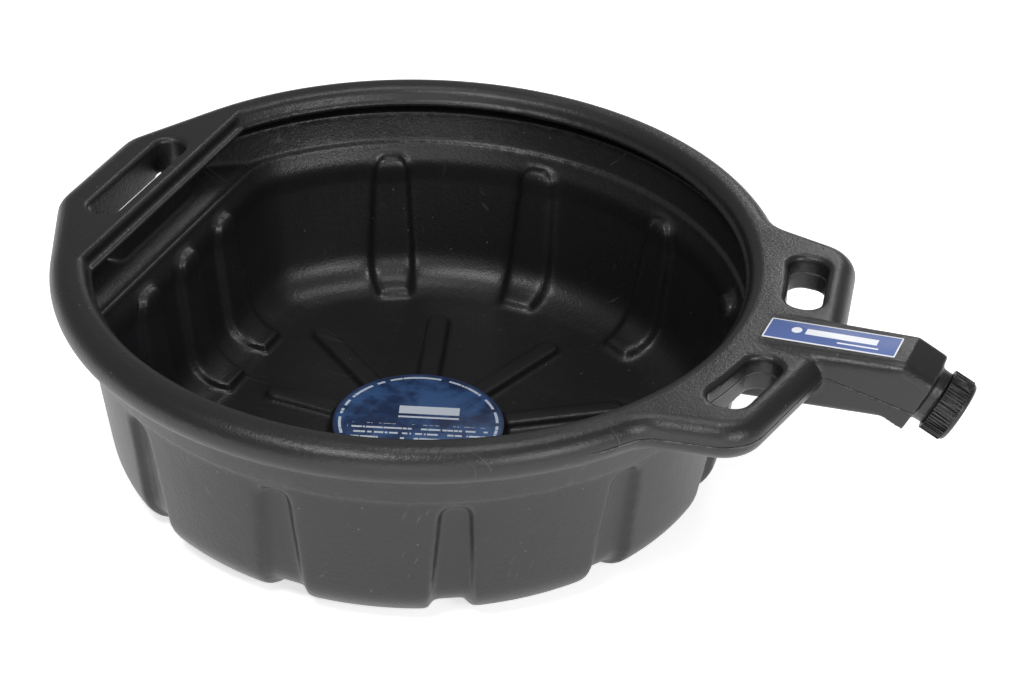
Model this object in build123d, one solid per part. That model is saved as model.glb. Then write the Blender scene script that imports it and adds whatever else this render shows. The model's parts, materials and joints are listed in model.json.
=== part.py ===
"""Oil drain pan: a blow-moulded basin with a rear handle, two front loop handles and a screw-capped spout.

Frame: origin at the centre of the round base on the resting plane, +Z up, +X towards the spout.
Units: millimetres and degrees. The pan is symmetric about the XZ plane, apart from the cap's thread.

The pan is one hollow moulding. It is drawn as an outer solid and as the hollow inside it, both from the
same functions: an inset of 0 gives the outside, and an inset of WALL gives the hollow. The mouth is then
cut through the top, which leaves the rim open inwards under a narrow trimmed lip. The moulding is
divided at the end into simpler sections that meet face to face.
"""
import os
from math import atan2, cos, degrees, radians, sin, sqrt, tan

from build123d import *

os.makedirs("parts", exist_ok=True)

# ------------------------------------------------------------------ driving dimensions
WALL = 3.0                      # thickness of the moulded skin
RIM_R = 220.0                   # outside radius of the rim
RIM_TOP_Z = 141.8               # height of the rim above the floor

# rim, and the narrow lip sunk inside it
RIM_BOTTOM_Z = RIM_TOP_Z - 23.2
RIM_ROUND = 11.5                # the rim's outer edge is almost a half round
LIP_Z = RIM_TOP_Z - 8.8
LIP_EDGE_R = RIM_R - 22.8       # where the rim's inner side drops to the lip
LIP_EDGE_ROUND = 8.0
LIP_EDGE_BACK_ROUND = WALL + 0.4  # tighter along the rear handle
MOUTH_R = LIP_EDGE_R - 2.4      # trimmed opening

# band between the rim and the sloping wall
BAND_Z = RIM_BOTTOM_Z - 20.2
BAND_TOP_R = RIM_R - 13.0
BAND_BOTTOM_R = RIM_R - 17.5
BAND_STEP = 2.7                 # how far the band stands out from the wall
SHELF_SLOPE = 27.0              # underside between the flat rear wall and the rear handle

# rear handle
REAR_HANDLE_X = RIM_R + 5.0
REAR_TANGENT_ANGLE = 153.5      # where its sides leave the rim
REAR_CORNER_R = 30.0
REAR_SLOT_X = (REAR_HANDLE_X - 42.5, REAR_HANDLE_X - 22.5)
REAR_SLOT_LENGTH = 100.0
LIP_EDGE_BACK_X = REAR_HANDLE_X - 51.8
MOUTH_BACK_X = LIP_EDGE_BACK_X - 4.8

# basin
WALL_DRAFT = 8.0                # the wall leans outwards
BASE_R = BAND_BOTTOM_R - BAND_STEP - BAND_Z * tan(radians(WALL_DRAFT))
BACK_X = REAR_HANDLE_X - 71.0   # flat rear wall: its distance from the axis at the resting plane
BACK_CORNER_R = 34.0            # upright corners between the flat wall and the round wall
BASE_FILLET = 28.0              # outside corner between wall and base
FOOT_R = BASE_R - 21.0          # D-shaped foot that the pan stands on
FOOT_BACK_X = BACK_X - 24.0
FOOT_STEP = 1.0                 # how far the foot stands below the corner fillet

# pockets pressed into the wall, seen from inside as upright ribs
POCKET_ANGLES = [0, 30, 60, 90, 120, -30, -60, -90, -120]
BACK_POCKET_Y = [-50.0, 0.0, 50.0]
POCKET_DEPTH = 5.5
POCKET_TOP_Z = BAND_Z - 5.4
POCKET_LOW_Z = -12.0            # the pocket's outline starts below the wall
POCKET_TOP_WIDTH = 19.0
POCKET_BASE_WIDTH = 29.0
POCKET_DRAFT = 12.0
POCKET_REACH = 26.0             # how far a pocket runs in over the base corner
POCKET_STAND_OFF = 1.5          # its outline lies this far outside the wall

# star of ridges and the round boss pressed up into the floor
BOSS_R = 54.0
BOSS_RISE = 8.0
RIDGE_COUNT = 10
RIDGE_WIDTH = 11.0
RIDGE_RISE = 4.5
RIDGE_END_R = RIM_R - 88.0
REAR_RIDGE_END_R = RIM_R - 116.0  # the one ridge that points at the flat rear wall is shorter
FLOOR_DRAFT = 14.0

# front loop handles, given for the +Y side and mirrored
LOOP_ROOT = (RIM_R - 70.0, 125.5)  # inside the rim: the loop's side runs on to here
LOOP_CORNER = (RIM_R + 21.5, 107.0)
LOOP_NOSE = (RIM_R + 38.5, 18.0)
LOOP_CORNER_R = 27.0
LOOP_NOSE_R = 8.0               # hidden in the spout's root
LOOP_ROOT_R = 22.0
LOOP_SLOT_R = RIM_R             # inner side of the slot, a circle about the basin's axis
LOOP_BAR = 16.0                 # width of the bar outside the slot
LOOP_SLOT_Y = (29.5, 85.0)
LOOP_SLOT_CORNER_R = 10.0
SLOT_EDGE_ROUND = 3.6

# spout
SPOUT_ROOT_X = RIM_R - 14.0     # outside, the spout grows out of the band here
SPOUT_INLET_X = LIP_EDGE_R - 8.0  # inside, its channel starts under the lip
SPOUT_HALF_WIDTH = 22.5
SPOUT_END_HALF_WIDTH = 20.0
SPOUT_BEND_X = RIM_R + 82.0     # top edge of the bend
SPOUT_BEND_Z = RIM_TOP_Z + 7.8
SPOUT_RISE = 5.2                # the spout climbs from the rim to the bend
SPOUT_HEIGHT = 36.0
NOSE_TILT = 24.0                # and then turns down
NOSE_LENGTH = 20.0
SPOUT_ROUND = 7.0
SPOUT_BOTTOM_ROUND = 5.0

# threaded neck, along its own axis
NECK_CORE_R = 14.9              # radius between the thread's turns
NECK_BORE_R = NECK_CORE_R - 2.9
COLLAR_R = NECK_CORE_R + 1.5
COLLAR_LENGTH = 6.6
NECK_LENGTH = 19.0
NECK_MOUTH_CHAMFER = 0.6
THREAD_PITCH = 4.0
THREAD_DEPTH = 1.4
THREAD_ROOT_WIDTH = 2.0
THREAD_CREST_WIDTH = 0.9
THREAD_START = COLLAR_LENGTH + THREAD_PITCH / 2
THREAD_TURNS = 2.0
THREAD_CLEARANCE = 0.35         # between the neck and the cap, at the root and at the crest
THREAD_SINK = 0.25              # a ridge reaches this far into what carries it

# screw cap
CAP_WALL = 2.55
CAP_R = NECK_CORE_R + THREAD_DEPTH + THREAD_CLEARANCE + CAP_WALL
CAP_START = COLLAR_LENGTH + 1.0  # open end of the cap along the neck axis
CAP_END_THICKNESS = 2.3
CAP_END_ROUND = 3.4
CAP_MOUTH_CHAMFER = 0.8
KNURL_COUNT = 60
KNURL_DEPTH = 0.7
KNURL_PLAIN_END = 2.6
LINER_THICKNESS = 1.1
LINER_GAP = 0.1                 # between the liner and the faces it is squeezed between
LINER_SIDE_GAP = 0.3            # between the liner's edge and the crests of the cap's thread

# labels
LABEL_THICKNESS = 0.3
FLOOR_LABEL_R = BOSS_R - 0.5
SPOUT_LABEL_LENGTH = 78.0
SPOUT_LABEL_WIDTH = 21.4
SPOUT_LABEL_START_X = RIM_R - 3.0

# where the moulding is divided into sections
SPLIT_Z = BAND_Z + 2.6
SPLIT_RING_R = RIM_R - 8.0
SPLIT_SPOUT_Y = SPOUT_HALF_WIDTH + 2.0

# ------------------------------------------------------------------ values worked out from them
BACK_AT_BAND = BACK_X + BAND_Z * tan(radians(WALL_DRAFT))
FAR = 500.0                     # larger than any part of the pan


def upright(outline, low, high):
    """A straight-sided solid of a flat outline between two heights."""
    return extrude(Pos(0, 0, low) * outline, amount=high - low)


def d_outline(radius, back, corner=0.0):
    """A disc cut off flat at the back, with its two upright corners rounded if asked."""
    disc = Circle(radius) & Pos(FAR / 2 - back, 0) * Rectangle(FAR, FAR)
    if corner:
        corners = [v for v in disc.vertices() if v.X < 0]
        disc = fillet(corners, corner)
    return disc


def mirrored(solid):
    """The same solid on the other side of the XZ plane."""
    return mirror(solid, about=Plane.XZ)


# ------------------------------------------------------------------ basin
def tub(inset):
    """The basin below the band: sloping D-shaped wall and rounded base corner."""
    low = FOOT_STEP + inset
    height = BAND_Z + min(inset, WALL) - low
    grow = low * tan(radians(WALL_DRAFT)) - inset / cos(radians(WALL_DRAFT))
    outline = d_outline(BASE_R + grow, BACK_X + grow, BACK_CORNER_R + grow)
    solid = extrude(Pos(0, 0, low) * outline, amount=height, taper=-WALL_DRAFT)
    rim_of_base = solid.edges().group_by(Axis.Z)[0]
    return fillet(rim_of_base, BASE_FILLET - inset)


def foot(inset):
    """The D-shaped foot, a shallow step below the corner fillet."""
    outline = d_outline(FOOT_R - inset / 2, FOOT_BACK_X - inset / 2)
    return upright(outline, inset, inset + 2 * FOOT_STEP)


def pocket(plane, inset):
    """One tapered pocket, pressed in along the plane's normal, wider at the base than at its top."""
    growth = inset * cos(radians(POCKET_DRAFT)) ** 2
    top = POCKET_TOP_Z + growth
    narrow = POCKET_TOP_WIDTH / 2 + growth
    wide = POCKET_BASE_WIDTH / 2 + growth
    low = (-wide, POCKET_LOW_Z), (wide, POCKET_LOW_Z)
    shape = Polygon(*low, (narrow, top), (-narrow, top), align=None)
    upper = [v for v in shape.vertices() if v.Y > 0]
    shape = fillet(upper, narrow * 0.8)
    return extrude(plane * shape, amount=POCKET_REACH + inset, taper=POCKET_DRAFT)


def wall_planes():
    """Planes lying just outside the wall at each pocket, their normals pointing in."""
    lean = radians(WALL_DRAFT)
    planes = []
    for angle in POCKET_ANGLES:
        a = radians(angle)
        origin = Vector(cos(a), sin(a), 0) * (BASE_R + POCKET_STAND_OFF)
        inward = Vector(-cos(a) * cos(lean), -sin(a) * cos(lean), sin(lean))
        planes.append(Plane(origin, x_dir=Vector(sin(a), -cos(a), 0), z_dir=inward))
    for y in BACK_POCKET_Y:
        inward = Vector(cos(lean), 0, sin(lean))
        planes.append(Plane(Vector(-BACK_X - POCKET_STAND_OFF, y, 0), x_dir=Vector(0, 1, 0), z_dir=inward))
    return planes


def pocketed(solid, inset):
    """The basin with its pockets, whose floors follow the wall and the base corner."""
    for plane in wall_planes():
        solid = solid - pocket(plane, inset)
    return solid + tub(POCKET_DEPTH + inset)


def floor_star(inset):
    """The boss and the ridges, as the space under the raised floor."""
    rise = BOSS_RISE + inset
    low = -1.0
    star = Pos(0, 0, low) * extrude(Circle(BOSS_R + inset), amount=rise - low, taper=FLOOR_DRAFT)
    for index in range(RIDGE_COUNT):
        angle = 180 + index * 360 / RIDGE_COUNT
        end = (REAR_RIDGE_END_R if index == 0 else RIDGE_END_R) + inset
        width = RIDGE_WIDTH + 2 * inset
        shape = Rot(0, 0, angle) * Pos(end / 2, 0, low) * SlotOverall(end, width)
        star = star + extrude(shape, amount=RIDGE_RISE + inset - low, taper=FLOOR_DRAFT)
    return star


# ------------------------------------------------------------------ band, rim and handles
def band(inset):
    """The band between the wall and the rim, with the sloping shelf below the rear handle."""
    profile = Polygon(
        (0, BAND_Z + inset), (BAND_BOTTOM_R - inset, BAND_Z + inset), (BAND_TOP_R - inset, RIM_BOTTOM_Z),
        (BAND_TOP_R - inset, LIP_Z - 1 - inset), (0, LIP_Z - 1 - inset), align=None)
    ring = revolve(Plane.XZ * profile, Axis.Z)
    shelf = Pos(-BACK_AT_BAND - inset / 2, 0, BAND_Z + inset) * Rot(0, SHELF_SLOPE, 0)
    below = shelf * Pos(-FAR / 2, 0, -FAR / 2) * Box(FAR, FAR, FAR)
    return ring - below


def loop_web():
    """The concave blend between the rim and the +Y loop's side: its centre and its two tangent points."""
    side_x = LOOP_ROOT[0] - LOOP_CORNER[0]
    side_y = LOOP_ROOT[1] - LOOP_CORNER[1]
    length = sqrt(side_x ** 2 + side_y ** 2)
    along = (side_x / length, side_y / length)
    out = (along[1], -along[0])
    start = (LOOP_CORNER[0] + out[0] * LOOP_ROOT_R, LOOP_CORNER[1] + out[1] * LOOP_ROOT_R)
    dot = start[0] * along[0] + start[1] * along[1]
    gap = start[0] ** 2 + start[1] ** 2 - (RIM_R + LOOP_ROOT_R) ** 2
    reach = -dot - sqrt(dot ** 2 - gap)
    centre = (start[0] + reach * along[0], start[1] + reach * along[1])
    on_side = (LOOP_CORNER[0] + reach * along[0], LOOP_CORNER[1] + reach * along[1])
    share = RIM_R / (RIM_R + LOOP_ROOT_R)
    on_rim = (centre[0] * share, centre[1] * share)
    return centre, on_side, on_rim


def top_outline():
    """Plan of the rim with its handles, every corner rounded."""
    centre, on_side, on_rim = loop_web()
    front = [on_side, LOOP_CORNER, LOOP_NOSE]
    front = front + [(x, -y) for x, y in reversed(front)]
    rear_angle = radians(REAR_TANGENT_ANGLE)
    leaves = (RIM_R * cos(rear_angle), RIM_R * sin(rear_angle))
    run = (REAR_HANDLE_X + leaves[0]) / sin(rear_angle)
    corner = (-REAR_HANDLE_X, leaves[1] + run * cos(rear_angle))
    rear = [leaves, corner, (corner[0], -corner[1]), (leaves[0], -leaves[1])]
    rim_angle = degrees(atan2(on_rim[1], on_rim[0]))
    rim = CenterArc((0, 0), RIM_R, rim_angle, REAR_TANGENT_ANGLE - rim_angle)
    side_angle = degrees(atan2(on_side[1] - centre[1], on_side[0] - centre[0]))
    web = CenterArc(centre, LOOP_ROOT_R, rim_angle - 180, side_angle - rim_angle + 180)
    line = FilletPolyline(*front, radius=(LOOP_CORNER_R, LOOP_NOSE_R, LOOP_NOSE_R, LOOP_CORNER_R))
    line = line + rim + web + mirrored(rim) + mirrored(web) + FilletPolyline(*rear, radius=REAR_CORNER_R)
    return make_face(line.edges())


def well_section(edge, rounding, inset, start):
    """Section of the sunken well inside the rim: its floor, its side and the rounded edge above."""
    low = LIP_Z - inset
    high = RIM_TOP_Z + 10
    centre = (edge + rounding, RIM_TOP_Z - rounding)
    side = Polygon((start, low), (edge + inset, low), (edge + inset, high), (start, high), align=None)
    flare = Polygon((start, centre[1]), centre, (centre[0], high), (start, high), align=None)
    return side + flare - Pos(*centre) * Circle(rounding - inset)


def well(inset):
    """The sunken well: round inside the rim and straight along the rear handle."""
    round_side = revolve(Plane.XZ * well_section(LIP_EDGE_R, LIP_EDGE_ROUND, inset, 0), Axis.Z)
    back_section = well_section(LIP_EDGE_BACK_X, LIP_EDGE_BACK_ROUND, inset, -FAR)
    straight_side = Rot(0, 0, 180) * extrude(Plane.XZ * back_section, amount=FAR, both=True)
    return round_side & straight_side


def top_plate(inset):
    """The rim and the handles as one plate with rounded edges, sunken inside the rim."""
    outline = top_outline()
    if inset:
        outline = offset(outline, amount=-inset, kind=Kind.ARC)
    plate = upright(outline, RIM_BOTTOM_Z + inset, RIM_TOP_Z - inset)
    outer_edges = plate.edges().group_by(Axis.Z)[0] + plate.edges().group_by(Axis.Z)[-1]
    return fillet(outer_edges, RIM_ROUND - inset) - well(inset)


def rear_slot(growth):
    """The hand slot of the rear handle, right through it."""
    width = REAR_SLOT_X[1] - REAR_SLOT_X[0]
    shape = Rot(0, 0, 90) * SlotOverall(REAR_SLOT_LENGTH + 2 * growth, width + 2 * growth)
    return upright(Pos(-sum(REAR_SLOT_X) / 2, 0) * shape, BAND_Z - 20, RIM_TOP_Z + 20)


def loop_slot(growth):
    """The slot of the +Y loop handle: between a circle, the bar and two crossing ends."""
    front_dx = LOOP_NOSE[0] - LOOP_CORNER[0]
    front_dy = LOOP_NOSE[1] - LOOP_CORNER[1]
    length = sqrt(front_dx ** 2 + front_dy ** 2)
    step = (LOOP_BAR * front_dy / length, -LOOP_BAR * front_dx / length)
    bar_corner = (LOOP_CORNER[0] + step[0], LOOP_CORNER[1] + step[1])
    bar_nose = (LOOP_NOSE[0] + step[0], LOOP_NOSE[1] + step[1])
    inside_bar = Polygon((0, 0), bar_nose, bar_corner, (0, bar_corner[1]), align=None)
    low_y, high_y = LOOP_SLOT_Y
    strip = Pos(FAR / 2, (low_y + high_y) / 2) * Rectangle(FAR, high_y - low_y)
    shape = (inside_bar & strip) - Circle(LOOP_SLOT_R)
    shape = fillet(shape.vertices(), LOOP_SLOT_CORNER_R)
    if growth:
        shape = offset(shape, amount=growth, kind=Kind.ARC)
    return upright(shape, BAND_Z - 10, RIM_TOP_Z + 20)


# ------------------------------------------------------------------ spout
def spout_bend(inset):
    """Side view of the spout's bend, (x, z): its top corner and its bottom corner."""
    lean = radians((SPOUT_RISE - NOSE_TILT) / 2)
    mitre = cos(radians((SPOUT_RISE + NOSE_TILT) / 2))
    down = (sin(lean) / mitre, -cos(lean) / mitre)
    top = (SPOUT_BEND_X + inset * down[0], SPOUT_BEND_Z + inset * down[1])
    deep = SPOUT_HEIGHT - inset
    return top, (SPOUT_BEND_X + deep * down[0], SPOUT_BEND_Z + deep * down[1])


def spout(inset):
    """The box-section spout, or its channel, which opens into the basin under the lip."""
    rise = radians(SPOUT_RISE)
    tilt = radians(NOSE_TILT)
    top, bottom = spout_bend(inset)
    nose = NOSE_LENGTH - inset
    end_top = (top[0] + nose * cos(tilt), top[1] - nose * sin(tilt))
    drop = SPOUT_HEIGHT - 2 * inset
    end_bottom = (end_top[0] - drop * sin(tilt), end_top[1] - drop * cos(tilt))
    crest_x = RIM_R - RIM_ROUND
    inlet_x = SPOUT_INLET_X if inset else SPOUT_ROOT_X
    ceiling = LIP_Z - 1 - inset

    def on_slope(bend, x):
        return (x, bend[1] - (bend[0] - x) * tan(rise))

    side = Polygon(
        on_slope(bottom, inlet_x), bottom, end_bottom, end_top, top, on_slope(top, crest_x),
        (crest_x, ceiling), (inlet_x, ceiling), align=None)
    half = SPOUT_HALF_WIDTH - inset
    body = extrude(Plane.XZ * side, amount=half, both=True)
    taper = degrees(atan2(SPOUT_HALF_WIDTH - SPOUT_END_HALF_WIDTH, SPOUT_BEND_X - SPOUT_ROOT_X))
    for sign in (1, -1):
        cheek = Pos(SPOUT_ROOT_X, sign * half, 0) * Rot(0, 0, -sign * taper)
        body = body - cheek * Pos(FAR / 2, sign * FAR / 2, 0) * Box(FAR + 60, FAR, FAR * 2)
    middle = (top[1] + bottom[1]) / 2
    long_edges = [e for e in body.edges() if abs(e.center().Y) > half * 0.8 and e.center().X > crest_x + 8
                  and e.bounding_box().size.X > 10]
    upper = [e for e in long_edges if e.center().Z > middle + 4]
    lower = [e for e in long_edges if e.center().Z < middle - 10]
    body = fillet(upper, SPOUT_ROUND - inset)
    lower = [e for e in body.edges() if any((e.center() - old.center()).length < 0.01 for old in lower)]
    return fillet(lower, SPOUT_BOTTOM_ROUND - inset)


def neck_plane():
    """The middle of the spout's end, its normal along the neck's axis."""
    tilt = radians(NOSE_TILT)
    x = SPOUT_BEND_X + NOSE_LENGTH * cos(tilt) - SPOUT_HEIGHT / 2 * sin(tilt)
    z = SPOUT_BEND_Z - NOSE_LENGTH * sin(tilt) - SPOUT_HEIGHT / 2 * cos(tilt)
    return Plane((x, 0, z), x_dir=(0, 1, 0), z_dir=(cos(tilt), 0, -sin(tilt)))


def thread_ridge(root_r, crest_r, start):
    """One helical thread ridge between two radii, sunk a little into what carries it."""
    sink = THREAD_SINK if crest_r > root_r else -THREAD_SINK
    helix = Helix(pitch=THREAD_PITCH, height=THREAD_PITCH * THREAD_TURNS, radius=root_r)
    root = THREAD_ROOT_WIDTH / 2
    crest = THREAD_CREST_WIDTH / 2
    outline = Polygon(
        (root_r - sink, -root), (crest_r, -crest), (crest_r, crest), (root_r - sink, root), align=None)
    return Pos(0, 0, start) * sweep(Plane.XZ * outline, path=helix, is_frenet=True)


def neck():
    """Collar and threaded neck on the spout's end, still without their bore."""
    collar = extrude(Circle(COLLAR_R), amount=COLLAR_LENGTH + WALL)
    tube = extrude(Circle(NECK_CORE_R), amount=NECK_LENGTH + WALL)
    solid = Pos(0, 0, -WALL) * (collar + tube)
    solid = chamfer(solid.edges().group_by(Axis.Z)[-1], NECK_MOUTH_CHAMFER)
    return solid + thread_ridge(NECK_CORE_R, NECK_CORE_R + THREAD_DEPTH, THREAD_START)


# ------------------------------------------------------------------ the moulding
def skin(inset):
    """Everything that the moulding's skin follows, seen from outside or from the hollow."""
    solid = pocketed(tub(inset) + foot(inset), inset) + band(inset) + top_plate(inset)
    solid = solid - floor_star(inset) + spout(inset)
    for slot in slots(inset):
        solid = solid - slot
    return solid


def slots(growth):
    """The three hand slots: rear, +Y and -Y."""
    side = loop_slot(growth)
    return [rear_slot(growth), side, mirrored(side)]


def slot_edges(solid, z):
    """The edges round the slots on a flat face at the given height."""
    flat = [e for e in solid.edges() if abs(e.center().Z - z) < 0.01 and e.bounding_box().size.Z < 0.01]
    return [e for e in flat if min(s.distance_to(e.position_at(0.5)) for s in slots(0)) < 0.01]


def moulding():
    """The whole blow moulding: outside less hollow, with the mouth trimmed open."""
    outside = skin(0)
    outside = fillet(slot_edges(outside, RIM_TOP_Z), SLOT_EDGE_ROUND)
    mouth = upright(d_outline(MOUTH_R, MOUTH_BACK_X), LIP_Z - WALL * 1.5, RIM_TOP_Z + 5)
    place = neck_plane().location
    bore = Pos(0, 0, -WALL * 2) * extrude(Circle(NECK_BORE_R), amount=NECK_LENGTH + WALL * 3)
    return outside - skin(WALL) - mouth + place * neck() - place * bore


def sections(body):
    """The moulding divided where its basin, rim, handles and spout meet."""
    above = Pos(0, 0, SPLIT_Z + FAR / 2) * Box(FAR * 2, FAR * 2, FAR)
    behind = Pos(-LIP_EDGE_BACK_X - WALL - FAR / 2, 0, 0) * Box(FAR, FAR * 2, FAR * 2)
    outer = Pos(FAR / 2, 0, 0) * Box(FAR, FAR * 2, FAR) - extrude(Circle(SPLIT_RING_R), amount=FAR)
    middle = Box(FAR * 4, SPLIT_SPOUT_Y * 2, FAR)
    near = Pos(FAR, FAR / 2 + SPLIT_SPOUT_Y, 0) * Box(FAR * 2, FAR, FAR)
    side = outer & near & (Pos(FAR / 2 + LOOP_ROOT[0], 0, 0) * Box(FAR, FAR * 2, FAR))
    upper = body & above
    return {
        "basin": body - above,
        "rear_handle": upper & behind,
        "loop_handle_left": upper & side,
        "loop_handle_right": upper & mirrored(side),
        "spout": upper & outer & middle,
        "rim": upper - behind - side - mirrored(side) - (outer & middle),
    }


# ------------------------------------------------------------------ cap, liner and labels
def screw_cap():
    """The knurled cap, in the neck's frame: a straight knurl, a rounded end and an inner thread."""
    inner_r = NECK_CORE_R + THREAD_DEPTH + THREAD_CLEARANCE
    ceiling = NECK_LENGTH + 2 * LINER_GAP + LINER_THICKNESS
    length = ceiling + CAP_END_THICKNESS - CAP_START
    barrel = extrude(Circle(CAP_R), amount=length)
    barrel = fillet(barrel.edges().group_by(Axis.Z)[-1], CAP_END_ROUND)
    barrel = chamfer(barrel.edges().group_by(Axis.Z)[0], CAP_MOUTH_CHAMFER)
    side = KNURL_DEPTH * sqrt(2)
    grooves = PolarLocations(CAP_R, KNURL_COUNT) * (Rot(0, 0, 45) * Rectangle(side, side))
    barrel = barrel - extrude(Sketch() + grooves, amount=length - KNURL_PLAIN_END)
    barrel = Pos(0, 0, CAP_START) * barrel
    barrel = barrel - Pos(0, 0, CAP_START - 1) * extrude(Circle(inner_r), amount=ceiling - CAP_START + 1)
    crest_r = NECK_CORE_R + THREAD_CLEARANCE
    return barrel + thread_ridge(inner_r, crest_r, THREAD_START + THREAD_PITCH / 2)


def cap_liner():
    """The sealing disc between the neck's mouth and the inside of the cap's end."""
    start = NECK_LENGTH + LINER_GAP
    radius = NECK_CORE_R + THREAD_CLEARANCE - LINER_SIDE_GAP
    return Pos(0, 0, start) * extrude(Circle(radius), amount=LINER_THICKNESS)


def floor_label():
    """The round label on the floor's boss."""
    return Pos(0, 0, BOSS_RISE + WALL) * extrude(Circle(FLOOR_LABEL_R), amount=LABEL_THICKNESS)


def spout_label():
    """The oblong label along the top of the spout."""
    middle = SPOUT_LABEL_START_X + SPOUT_LABEL_LENGTH / 2 * cos(radians(SPOUT_RISE))
    z = SPOUT_BEND_Z - (SPOUT_BEND_X - middle) * tan(radians(SPOUT_RISE))
    sheet = extrude(Rectangle(SPOUT_LABEL_LENGTH, SPOUT_LABEL_WIDTH), amount=LABEL_THICKNESS)
    return Pos(middle, 0, z) * Rot(0, -SPOUT_RISE, 0) * sheet


def build():
    """Every named piece, in the pan's frame."""
    place = neck_plane().location
    pieces = sections(moulding())
    pieces["screw_cap"] = place * screw_cap()
    pieces["cap_liner"] = place * cap_liner()
    pieces["floor_label"] = floor_label()
    pieces["spout_label"] = spout_label()
    return pieces


for name, piece in build().items():
    piece.label = name
    export_step(piece, f"parts/{name}.step")
    print(name, "solids", len(piece.solids()), "volume", round(piece.volume))
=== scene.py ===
"""Oil drain pan: its moulded skin, threaded neck, screw cap, sealing liner and printed labels.

Laid out as a Blender add-on. All lengths are metres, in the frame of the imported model: origin at the
centre of the base on the floor, +Z up, +X towards the spout.
"""
import json
from math import atan2, cos, pi, radians, sin

import bmesh
import bpy
import numpy as np
from bpy.props import FloatProperty, FloatVectorProperty, IntProperty, PointerProperty
from bpy.types import Operator, Panel, PropertyGroup
from mathutils import Matrix, Vector

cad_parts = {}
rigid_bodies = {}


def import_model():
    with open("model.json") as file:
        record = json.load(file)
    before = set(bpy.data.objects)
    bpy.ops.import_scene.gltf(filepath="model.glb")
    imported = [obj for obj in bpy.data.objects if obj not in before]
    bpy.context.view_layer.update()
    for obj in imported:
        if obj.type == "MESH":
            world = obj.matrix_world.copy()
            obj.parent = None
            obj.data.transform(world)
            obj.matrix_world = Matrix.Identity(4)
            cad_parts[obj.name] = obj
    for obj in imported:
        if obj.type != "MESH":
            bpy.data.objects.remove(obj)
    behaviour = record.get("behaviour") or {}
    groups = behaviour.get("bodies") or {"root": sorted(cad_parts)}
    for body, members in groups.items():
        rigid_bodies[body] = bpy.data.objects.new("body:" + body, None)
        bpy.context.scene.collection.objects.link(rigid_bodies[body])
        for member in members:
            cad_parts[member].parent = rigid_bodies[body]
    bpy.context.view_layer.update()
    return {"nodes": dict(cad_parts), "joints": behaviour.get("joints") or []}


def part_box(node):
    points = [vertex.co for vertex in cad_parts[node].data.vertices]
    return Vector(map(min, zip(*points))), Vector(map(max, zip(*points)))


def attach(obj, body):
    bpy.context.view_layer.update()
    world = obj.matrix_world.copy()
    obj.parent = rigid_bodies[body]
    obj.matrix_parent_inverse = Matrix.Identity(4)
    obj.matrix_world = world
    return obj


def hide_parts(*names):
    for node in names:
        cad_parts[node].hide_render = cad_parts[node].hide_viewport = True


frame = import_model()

bl_info = {
    "name": "Oil Drain Pan",
    "version": (1, 0, 0),
    "blender": (4, 5, 0),
    "location": "View3D > Sidebar > Drain Pan",
    "description": "Builds a blow-moulded oil drain pan with its screw cap, labels and studio",
    "category": "Add Mesh",
}

MOULDED_NODES = ("basin", "rim", "rear_handle", "loop_handle_left", "loop_handle_right", "spout")
JOINTS = {joint["name"]: joint for joint in frame["joints"]}
NECK_AXIS = Vector(JOINTS["cap_turn"]["axis"]).normalized()
NECK_ORIGIN = Vector(JOINTS["cap_turn"]["pos_m"])
COLLAR_LENGTH = 0.0066          # from the spout's end to the collar's outer face
MERGE_DISTANCE = 0.00001        # CAD vertices nearer than this become one
PARTING_Z = 0.1305              # the two mould halves meet at this height on rim and handles
TURN = 2 * pi


# ------------------------------------------------------------------ helpers for meshes
def deselect_all():
    """Leaves edit mode and clears the selection, the CAD nodes' too."""
    if bpy.context.object and bpy.context.object.mode != "OBJECT":
        bpy.ops.object.mode_set(mode="OBJECT")
    bpy.ops.object.select_all(action="DESELECT")


def activate(piece):
    """Makes one object the selected and active one."""
    deselect_all()
    piece.select_set(True)
    bpy.context.view_layer.objects.active = piece


def edit(piece, mode="FACE"):
    """Opens one object in edit mode with nothing selected and returns its bmesh."""
    activate(piece)
    bpy.ops.object.mode_set(mode="EDIT")
    bpy.ops.mesh.select_mode(type=mode)
    bpy.ops.mesh.select_all(action="DESELECT")
    return bmesh.from_edit_mesh(piece.data)


def pick_faces(piece, test):
    """Selects the faces of the object in edit mode that pass a test, and only those."""
    bpy.ops.mesh.select_all(action="DESELECT")
    mesh = bmesh.from_edit_mesh(piece.data)
    for face in mesh.faces:
        face.select_set(test(face))
    bmesh.update_edit_mesh(piece.data)


def apply_modifier(piece, kind, **settings):
    """Adds a modifier with its settings and applies it."""
    activate(piece)
    modifier = piece.modifiers.new(kind.title(), kind)
    for key, value in settings.items():
        setattr(modifier, key, value)
    bpy.ops.object.modifier_apply(modifier=modifier.name)


def ease_edges(piece, width, angle):
    """Rounds the edges sharper than an angle in degrees, by a small width."""
    apply_modifier(
        piece, "BEVEL", width=width, segments=2, limit_method="ANGLE", angle_limit=radians(angle))


def shade(piece, angle):
    """Shades a piece smooth except where its faces meet at more than an angle in degrees."""
    activate(piece)
    bpy.ops.object.shade_smooth_by_angle(angle=radians(angle))


def apply_place(piece):
    """Moves the object's place, turn and scale into its mesh."""
    activate(piece)
    bpy.ops.object.transform_apply(location=True, rotation=True, scale=True)


def set_on_neck(piece):
    """Takes a piece modelled about the Z axis onto the neck's axis."""
    turn = Vector((0, 0, 1)).rotation_difference(NECK_AXIS).to_matrix().to_4x4()
    piece.matrix_world = Matrix.Translation(NECK_ORIGIN) @ turn
    apply_place(piece)


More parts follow.
